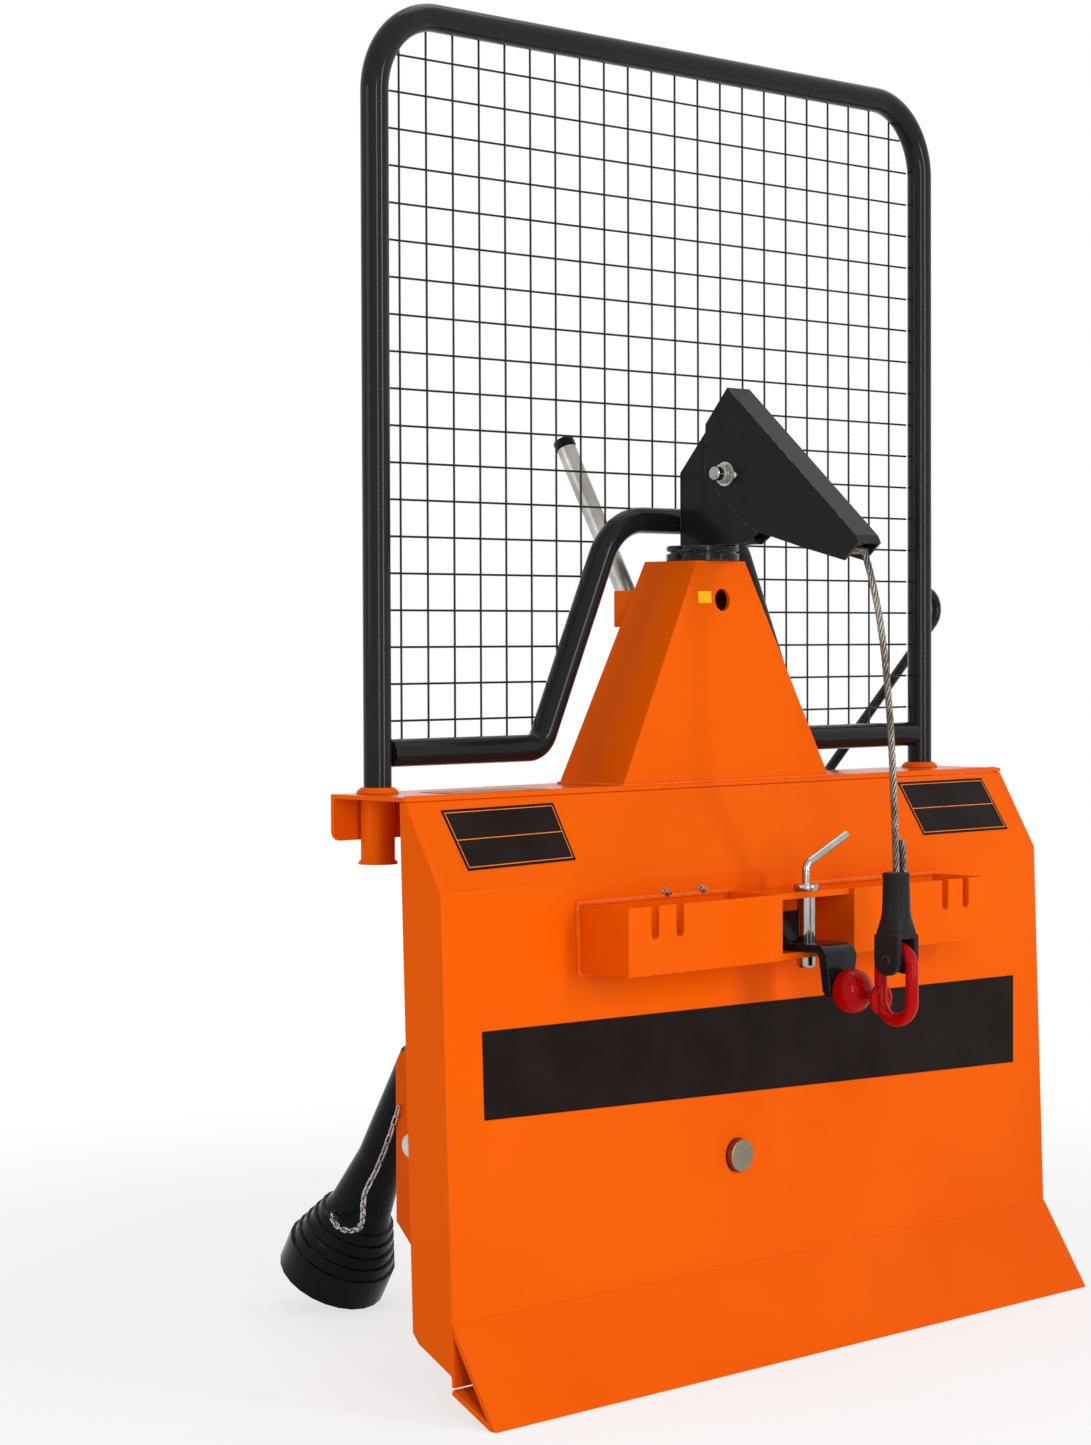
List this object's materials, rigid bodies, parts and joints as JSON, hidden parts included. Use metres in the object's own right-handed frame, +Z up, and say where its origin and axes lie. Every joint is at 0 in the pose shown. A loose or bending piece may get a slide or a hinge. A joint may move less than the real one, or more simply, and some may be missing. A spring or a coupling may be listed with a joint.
{
  "type": "tractor forestry winch",
  "caption": "Three-point forestry skidding winch with a docking blade, mesh guard, swivelling rope nozzle, chain bar, hitch pin and drive shaft.",
  "frame": {"origin": "middle of the docking blade's digging edge, on the ground", "axes": "+Z up, +Y towards the tractor, +X to the right seen from the log side"},
  "size_m": [1.3562, 1.0031, 1.8727],
  "materials": {
    "orange_paint": "glossy powder coat",
    "black_paint": "satin powder coat",
    "mesh_paint": "satin powder coat",
    "red_paint": "gloss",
    "chrome_plate": "bright",
    "zinc": "zinc plated",
    "bare_steel": "machined",
    "rope_steel": "bright strand",
    "black_plastic": "satin moulded"
  },
  "bodies": {
    "frame": {"front_shield": "orange_paint", "docking_blade": "orange_paint", "top_plate": "orange_paint", "left_post_socket": "orange_paint", "right_post_socket": "orange_paint", "tower": "orange_paint", "left_chain_bar": "orange_paint", "right_chain_bar": "orange_paint", "hitch_clevis": "orange_paint", "rear_plate": "orange_paint", "cross_beam": "orange_paint", "left_hitch_cheek": "orange_paint", "right_hitch_cheek": "orange_paint", "top_link_bracket": "orange_paint", "left_leg": "orange_paint", "right_leg": "orange_paint", "lever_bracket": "orange_paint", "shaft_hanger": "orange_paint", "guard_frame": "black_paint", "guard_lower_tube": "black_paint", "input_bearing": "black_paint", "guard_mesh": "mesh_paint", "left_face_bolt": "chrome_plate", "right_face_bolt": "chrome_plate", "drive_chain": "zinc", "left_link_pin": "zinc", "right_link_pin": "zinc", "top_link_pin": "zinc", "drum_axle": "bare_steel", "rope_riser": "rope_steel"},
    "head": {"swivel_collar": "black_paint", "head_fork": "black_paint", "pivot_bolt": "chrome_plate", "pivot_nut": "zinc", "rope_over_sheave": "rope_steel"},
    "sheave": {"sheave": "bare_steel"},
    "nozzle": {"nozzle_shell": "black_paint", "grease_nipple": "zinc", "rope_in_nozzle": "rope_steel"},
    "mouth_roller": {"mouth_roller": "bare_steel"},
    "rope_end": {"wire_rope": "rope_steel", "rope_socket": "black_plastic", "socket_pin": "black_paint", "red_link": "red_paint", "swivel_eye": "red_paint"},
    "swivel_body": {"swivel_body": "red_paint"},
    "hitch_pin": {"hitch_pin": "chrome_plate"},
    "hitch_hook": {"hitch_hook": "black_paint"},
    "drum": {"drum_spool": "black_paint", "rope_on_drum": "rope_steel"},
    "sprocket": {"drum_sprocket": "bare_steel"},
    "input": {"input_shaft": "bare_steel"},
    "clutch_lever": {"clutch_lever": "zinc", "lever_plug": "black_plastic"},
    "brake_lever": {"brake_lever": "black_paint"},
    "shaft_upper": {"upper_yoke": "bare_steel", "upper_guard": "black_plastic"},
    "shaft_lower": {"lower_guard": "black_plastic", "lower_yoke": "bare_steel", "guard_chain": "chrome_plate"}
  },
  "joints": [
    {"name": "head_swivel", "type": "hinge", "parent": "frame", "child": "head", "pos_m": [0, 0.216, 1.1453], "axis": [0, 0, 1], "range_deg": [-40, 40]},
    {"name": "nozzle_tilt", "type": "hinge", "parent": "head", "child": "nozzle", "pos_m": [0, 0.149, 1.2466], "axis": [-1, 0, 0], "range_deg": [0, 50]},
    {"name": "rope_hang", "type": "hinge", "parent": "nozzle", "child": "rope_end", "pos_m": [0, -0.08618, 1.13098], "axis": [-1, 0, 0], "range_deg": [-50, 0]},
    {"name": "sheave_spin", "type": "hinge", "parent": "head", "child": "sheave", "pos_m": [0, 0.149, 1.2466], "axis": [1, 0, 0], "continuous": true},
    {"name": "roller_spin", "type": "hinge", "parent": "nozzle", "child": "mouth_roller", "pos_m": [0, -0.07289, 1.13369], "axis": [1, 0, 0], "continuous": true},
    {"name": "rope_swivel", "type": "hinge", "parent": "rope_end", "child": "swivel_body", "pos_m": [0, -0.04803, 0.5178], "axis": [0, 1, 0], "continuous": true},
    {"name": "hitch_pin_lift", "type": "slide", "parent": "frame", "child": "hitch_pin", "axis": [0, 0, 1], "range_m": [0, 0.11]},
    {"name": "hook_swing", "type": "hinge", "parent": "frame", "child": "hitch_hook", "pos_m": [0, 0.01997, 0.5818], "axis": [0, 0, 1], "range_deg": [-4, 4]},
    {"name": "drum_spin", "type": "hinge", "parent": "frame", "child": "drum", "pos_m": [-0.08, 0.182, 0.281], "axis": [0, 1, 0], "continuous": true},
    {"name": "sprocket_spin", "type": "hinge", "parent": "frame", "child": "sprocket", "pos_m": [-0.08, 0.271, 0.281], "axis": [0, 1, 0], "continuous": true},
    {"name": "input_spin", "type": "hinge", "parent": "frame", "child": "input", "pos_m": [-0.08, 0.35, 0.46], "axis": [0, 1, 0], "continuous": true},
    {"name": "clutch_pull", "type": "hinge", "parent": "frame", "child": "clutch_lever", "pos_m": [-0.05, 0.3053, 1.05], "axis": [-1, 0, 0], "range_deg": [0, 20]},
    {"name": "brake_pull", "type": "hinge", "parent": "frame", "child": "brake_lever", "pos_m": [0.396, 0.34, 0.766], "axis": [0, -1, 0], "range_deg": [0, 15]},
    {"name": "shaft_swing", "type": "hinge", "parent": "frame", "child": "shaft_upper", "pos_m": [-0.252, 0.3923, 0.65], "axis": [1, 0, 0], "range_deg": [0, 25]},
    {"name": "shaft_telescope", "type": "slide", "parent": "shaft_upper", "child": "shaft_lower", "axis": [0, -0.5105, 0.8599], "range_m": [0, 0.1]}
  ],
  "couplings": [
    {"joint": "rope_hang", "follows": "nozzle_tilt", "ratio": -1},
    {"joint": "input_spin", "follows": "sprocket_spin", "ratio": 3.4545}
  ]
}
